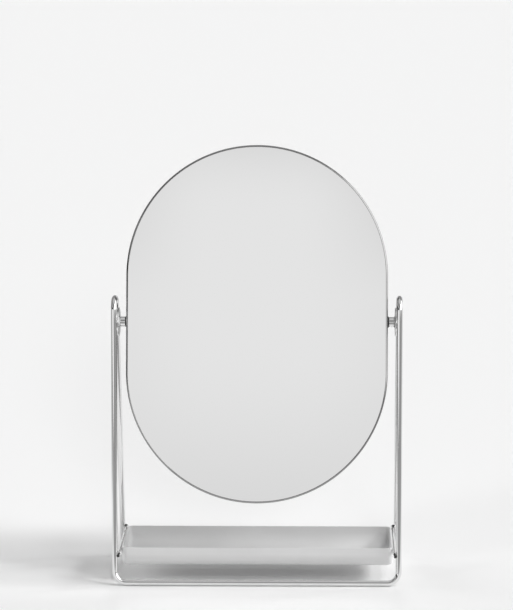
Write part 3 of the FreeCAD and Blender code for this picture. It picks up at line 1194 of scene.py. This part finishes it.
@dataclass
class PivotFittings:
    """Disc, washers, barrel, gasket and screw of each pivot."""

    finisher: Finisher
    sides: int = 72
    hole: float = 0.00205
    hole_edge: float = 0.0002
    ring_edge_steps: int = 8
    rings: Sequence[Ring] = (
        Ring("pivot_disc", "disc", Body.STAND, Slot.STAND, 0.0004),
        Ring("spacer_barrel", "barrel", Body.MIRROR, Slot.FITTING, 0.0005),
        Ring("gasket", "rubber_ring", Body.MIRROR, Slot.GASKET, 0.0002),
        Ring("inner_washer", "nylon_inside", Body.MIRROR, Slot.NYLON, 0.00015),
        Ring("outer_washer", "nylon_outside", Body.MIRROR, Slot.NYLON, 0.00015),
    )
    shank: float = 0.002
    shank_core: float = 0.0004
    shank_edge: float = 0.0004
    seat_edge: float = 0.0002
    head_round: float = 0.0008
    head_height: float = 0.0021
    head_face: float = 0.0021
    screw_edge_steps: int = 6
    socket: float = 0.0025
    socket_lines: Sequence[SocketLine] = (
        SocketLine(1.06, 0.0, 0.0), SocketLine(1.0, 0.00015, 0.7),
        SocketLine(0.99, 0.0012, 0.7), SocketLine(0.9, 0.0012, 0.0),
    )

    def turn_ring(self, side: Side, ring: Ring) -> None:
        """Turn a ring in place of a CAD node of the same size.

        Args:
            side: which side.
            ring: which ring.
        """
        node = f"{side.word}_{ring.node}"
        low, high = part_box(node)
        radius = (high.z - low.z) / 2
        origin = Vector((low.x, 0.0, (low.z + high.z) / 2))
        length = high.x - low.x
        small = min(ring.edge, self.hole_edge)
        corners = ((self.hole, 0.0, small), (radius, 0.0, ring.edge), (radius, length, ring.edge),
                   (self.hole, length, small))
        section = rounded_section(corners, self.ring_edge_steps)
        loops = spun(section, RIGHTWARD, origin, self.sides)
        piece = skin(f"{side.word}_{ring.name}", loops, ring=True)
        self.finisher.dress(piece, ring.slot)
        register(piece, ring.body, ring.slot, (node,))

    def turn_screw(self, side: Side) -> None:
        """Turn the cap screw with its six-sided socket.

        Args:
            side: which side.
        """
        node = f"{side.word}_pivot_screw"
        low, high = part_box(node)
        radius = (high.z - low.z) / 2
        length = high.x - low.x
        seat = length - self.head_height
        origin = Vector((low.x if side is Side.RIGHT else high.x, 0.0, (low.z + high.z) / 2))
        axis = Vector((side.value, 0.0, 0.0))
        corners = (
            (self.shank_core, 0.0, 0.0), (self.shank, 0.0, self.shank_edge),
            (self.shank, seat, self.seat_edge), (radius, seat, self.seat_edge),
            (radius, length, self.head_round), (self.head_face, length, 0.0))
        loops = spun(rounded_section(corners, self.screw_edge_steps, closed=False), axis, origin, self.sides)
        for line in self.socket_lines:
            loop = []
            for turn, spoke in spokes(axis, self.sides):
                wedge = turn % (math.pi / 3) - math.pi / 6
                flat = self.socket / 2 / math.cos(wedge)
                face = (axis * (1.0 - line.inwards) - spoke * line.inwards).normalized()
                loop.append((origin + axis * (length - line.depth) + spoke * (flat * line.share), face))
            loops.append(loop)
        piece = skin(f"{side.word}_cap_screw", loops, ring=False)
        self.finisher.dress(piece, Slot.SCREW)
        register(piece, Body.MIRROR, Slot.SCREW, (node,))

    def build(self) -> None:
        """Make both pivots."""
        for side in Side:
            for ring in self.rings:
                self.turn_ring(side, ring)
            self.turn_screw(side)


@dataclass
class CadFinishes:
    """Finishes for the CAD nodes that stay as they are."""

    finisher: Finisher

    def build(self) -> None:
        """Dress every CAD node by its material slot in the record."""
        slots = {entry["node"]: Slot(entry["material_slot"]) for entry in frame["record"]["subparts"]}
        for name, piece in frame["nodes"].items():
            self.finisher.dress(piece, slots[name])
            LOG.info("%s is finished as %s", name, slots[name].value)


# ---------- Studio ----------

RIGHT_ANGLE = 90.0
STRAIGHT_BEHIND = 180.0


@dataclass(frozen=True)
class Card:
    """A soft-edged panel that only polished surfaces show; angles in degrees, azimuth from -Y to +X."""

    azimuth: float
    elevation: float
    half_width: float
    half_height: float
    soft: float
    level: float


@dataclass(frozen=True)
class Lamp:
    """A distant lamp; azimuth in degrees from +X towards +Y, share is its part of the light on the floor."""

    name: str
    azimuth: float
    elevation: float
    angle: float
    share: float


@dataclass(frozen=True)
class DarkZone:
    """Floor that polished surfaces see dark, from near to far along a heading in degrees from -Y to +X:
    painted shade of an unlit room beyond the paper, seen only in reflections.
    """

    heading: float
    near: float
    far: float
    depth: float


@dataclass
class Studio:
    """Pale floor, soft lamps, the panels seen in the chrome, and the camera."""

    camera_place: Sequence[float] = (0.05064, -1.5578, 0.5150)
    camera_down: float = 11.733
    camera_turn: float = 0.603
    lens: float = 136.42
    sensor: float = 36.0
    sight: float = 100.0
    shift: float = -0.0825
    pale: float = 0.913
    ambient: float = 0.18
    floor_reach: float = 30.0
    floor_rough: float = 0.9
    zones: tuple[DarkZone, DarkZone] = (DarkZone(15.0, 0.15, 0.27, 0.62), DarkZone(-150.0, 0.20, 0.35, 0.55))
    lamps: Sequence[Lamp] = (
        Lamp("right_1", 3.0, 36.0, 9.0, 0.124),
        Lamp("right_2", -18.0, 60.0, 9.0, 0.132),
        Lamp("left_1", 168.0, 20.0, 26.0, 0.099),
        Lamp("front_1", -80.0, 20.0, 12.0, 0.060),
        Lamp("right_3", -18.0, 36.0, 9.0, 0.091),
        Lamp("front_right_1", -42.0, 68.0, 9.0, 0.073),
        Lamp("right_4", 20.0, 28.0, 9.0, 0.066),
        Lamp("rear_1", 90.0, 35.0, 9.0, 0.063),
        Lamp("right_5", -9.0, 28.0, 9.0, 0.062),
        Lamp("front_left_1", -145.0, 35.0, 9.0, 0.045),
    )
    sky: Stops = (
        (0.0, 0.30), (0.06, 0.35), (0.125, 0.70), (0.167, 0.76), (0.25, 0.80), (0.33, 0.45), (0.40, 0.22),
        (0.70, 0.22), (0.85, 0.48), (0.95, 0.62), (1.0, 0.60))
    cards: Sequence[Card] = (
        Card(-2.0, 15.0, 3.5, 4.0, 5.0, 0.86),
        Card(STRAIGHT_BEHIND, 0.0, 75.0, 13.0, 3.0, 0.95),
        Card(STRAIGHT_BEHIND, 40.0, 80.0, 26.5, 4.0, 0.28),
        Card(-85.0, 21.0, 62.0, 9.0, 8.0, 0.45),
        Card(-85.0, 9.5, 68.0, 6.5, 2.5, 0.02),
        Card(-110.0, 3.0, 43.0, 5.0, 2.0, 0.12),
        Card(-36.0, 2.0, 18.0, 4.0, 1.5, 1.3),
        Card(70.0, 28.0, 50.0, 21.0, 3.0, 1.9),
        Card(78.0, 6.0, 38.0, 4.0, 2.0, 1.9),
    )

    def floor(self) -> None:
        """Lay the floor; polished surfaces see dark zones of painted shade on it, and it is clear from below.
        """
        mesh = bpy.data.meshes.new("floor")
        reach = self.floor_reach
        corners = [(-reach, -reach, 0), (reach, -reach, 0), (reach, reach, 0), (-reach, reach, 0)]
        mesh.from_pydata(corners, [], [(0, 1, 2, 3)])
        floor = link("floor", mesh)
        surface = Surface("floor_paper")
        glossy = surface.add("ShaderNodeLightPath").pick("Is Glossy Ray")
        first, second = (self.beyond(surface, zone) for zone in self.zones)
        dark = surface.add("ShaderNodeMath", {"operation": "MAXIMUM"}, {0: first, 1: second})
        # For glossy rays only, the floor's colour goes dark in the zones: painted shade seen in reflections.
        surface.shade(Base_Color=surface.mix_grey(dark * glossy, self.pale, 0.0), Roughness=self.floor_rough,
                      Specular_IOR_Level=0.0)
        paper = Wire(surface, surface.shader.outputs[0])
        below = surface.add("ShaderNodeNewGeometry").pick("Backfacing")
        clear = surface.add("ShaderNodeBsdfTransparent")
        one_way = surface.add("ShaderNodeMixShader", None, {0: below, 1: paper, 2: clear})
        surface.feed(surface.tree.nodes["Material Output"].inputs["Surface"], one_way)
        floor.data.materials.append(surface.material)

    @staticmethod
    def beyond(surface: Surface, zone: DarkZone) -> Wire:
        """How dark a zone makes the floor.

        Args:
            surface: the floor's material.
            zone: the zone.

        Returns:
            0 before the zone and its depth in it.
        """
        turn = math.radians(zone.heading)
        away = surface.add("ShaderNodeVectorMath", {"operation": "DOT_PRODUCT"}, {
            0: surface.place, 1: (math.sin(turn), -math.cos(turn), 0.0)}, "Value")
        return zone.depth * surface.between(away, zone.near, zone.far)

    @staticmethod
    def hang(lamp: Lamp) -> None:
        """Hang one lamp, out of sight of polished surfaces.

        Args:
            lamp: what to hang.
        """
        around, height = math.radians(lamp.azimuth), math.radians(lamp.elevation)
        data = bpy.data.lights.new(lamp.name, "SUN")
        data.energy = math.pi * lamp.share / math.sin(height)
        data.angle = math.radians(lamp.angle)
        level = math.cos(height)
        source = Vector((math.cos(around) * level, math.sin(around) * level, math.sin(height)))
        piece = link(lamp.name, data)
        piece.rotation_euler = source.to_track_quat("Z", "Y").to_euler()
        piece.visible_glossy = False

    def world(self) -> None:
        """Fill the surroundings: even light for matt surfaces, sky and panels for polished ones."""
        world = bpy.data.worlds.new("studio")
        world.use_nodes = True
        bpy.context.scene.world = world
        tree = Tree(world.node_tree)
        base = world.node_tree.nodes["Background"]
        base.inputs["Color"].default_value = (1.0, 1.0, 1.0, 1.0)
        heading = tree.add("ShaderNodeTexCoord", output="Generated")
        split = tree.add("ShaderNodeSeparateXYZ", None, {0: heading})
        across, deep, up = (split.pick(axis) for axis in "XYZ")
        azimuth = tree.add("ShaderNodeMath", {"operation": "ARCTAN2"}, {0: across, 1: deep * -1.0})
        elevation = tree.add("ShaderNodeMath", {"operation": "ARCSINE"}, {0: up})
        level = tree.ramp(up, self.sky)
        for card in self.cards:
            mask = self.window(tree, azimuth, card.azimuth, card.half_width, card.soft)
            mask = mask * self.window(tree, elevation, card.elevation, card.half_height, card.soft)
            level = level + mask * (card.level - level)
        rays = tree.add("ShaderNodeLightPath")
        seen = rays.pick("Is Camera Ray") + rays.pick("Is Transmission Ray")
        strength = seen * (self.pale - self.ambient) + self.ambient
        strength = strength + rays.pick("Is Glossy Ray") * (level - self.ambient)
        tree.feed(base.inputs["Strength"], strength)

    @staticmethod
    def window(tree: Tree, angle: Wire, centre: float, half: float, soft: float) -> Wire:
        """Soft window in an angle; one that is centred on the azimuth straight behind wraps round.

        Args:
            tree: where to add the nodes.
            angle: the angle in radians.
            centre: middle of the window, in degrees.
            half: half its width, in degrees.
            soft: width of its soft edge, in degrees.

        Returns:
            1 inside and 0 outside.
        """
        behind = centre == STRAIGHT_BEHIND
        aside = angle if behind else angle - math.radians(centre)
        size = tree.add("ShaderNodeMath", {"operation": "ABSOLUTE"}, {0: aside})
        offset = math.pi - size if behind else size
        outer, inner = math.radians(half + soft / 2), math.radians(half - soft / 2)
        return tree.between(offset, outer, inner)

    def camera(self) -> None:
        """Stand the camera where the object is seen from a little above."""
        data = bpy.data.cameras.new("camera")
        data.lens = self.lens
        data.sensor_width = self.sensor
        data.shift_x = self.shift
        data.clip_end = self.sight
        camera = link("camera", data)
        camera.location = self.camera_place
        tilt = math.radians(RIGHT_ANGLE - self.camera_down)
        camera.rotation_euler = (tilt, 0.0, math.radians(self.camera_turn))
        bpy.context.scene.camera = camera

    def build(self) -> None:
        """Set up the whole studio."""
        bpy.context.scene.view_settings.view_transform = "Standard"
        self.floor()
        self.world()
        for lamp in self.lamps:
            self.hang(lamp)
        self.camera()


def main() -> None:
    """Build every sub-assembly and report each piece."""
    logging.basicConfig(level=logging.INFO, format="%(message)s")
    finisher = Finisher()
    sweeper = PathSweep()
    CadFinishes(finisher).build()
    WireStand(finisher, sweeper, BeadScatter()).build()
    TrayPan(finisher).build()
    MirrorHead(finisher, sweeper).build()
    PivotFittings(finisher).build()
    Studio().build()


if __name__ == "__main__":
    main()
